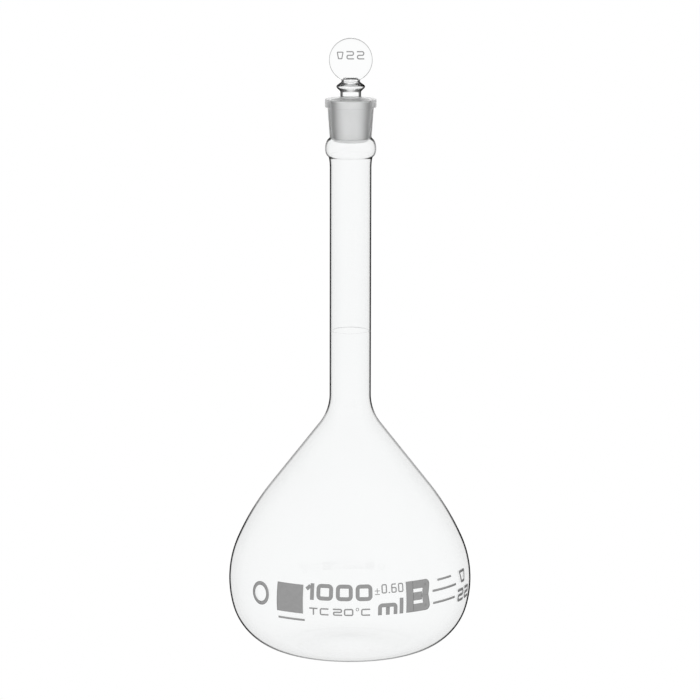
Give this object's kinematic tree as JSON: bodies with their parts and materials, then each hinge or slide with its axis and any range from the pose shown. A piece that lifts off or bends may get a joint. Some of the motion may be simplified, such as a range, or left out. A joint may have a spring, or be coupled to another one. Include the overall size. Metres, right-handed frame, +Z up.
{
  "type": "volumetric flask",
  "caption": "Pear-shaped clear glass measuring flask with a long narrow neck, a fired ring mark, a ground taper joint and a flat-headed glass stopper that lifts out.",
  "frame": {"origin": "centre of the foot, on the plane that the flask stands on", "axes": "+Z up along the flask's axis, -Y the printed front, +X to the right seen from the front"},
  "size_m": [0.13, 0.1302, 0.328],
  "materials": {
    "clear_glass": "fire-polished clear borosilicate glass",
    "ground_glass": "borosilicate glass ground matt on the taper",
    "enamel": "grey ceramic enamel fired onto the glass"
  },
  "bodies": {
    "flask": {"bulb": "clear_glass", "neck_tube": "clear_glass", "joint_socket": "ground_glass", "calibration_ring": "enamel", "enamel_writing_patch": "enamel", "enamel_digit_one": "enamel", "enamel_digit_zero_first": "enamel", "enamel_digit_zero_second": "enamel", "enamel_digit_zero_third": "enamel", "enamel_letter_m": "enamel", "enamel_letter_l": "enamel", "enamel_class_letter": "enamel"},
    "stopper": {"stopper_plug": "ground_glass", "stopper_head": "clear_glass"}
  },
  "joints": [
    {"name": "stopper_lift", "type": "slide", "parent": "flask", "child": "stopper", "axis": [0, 0, 1], "range_m": [0, 0.06]}
  ]
}
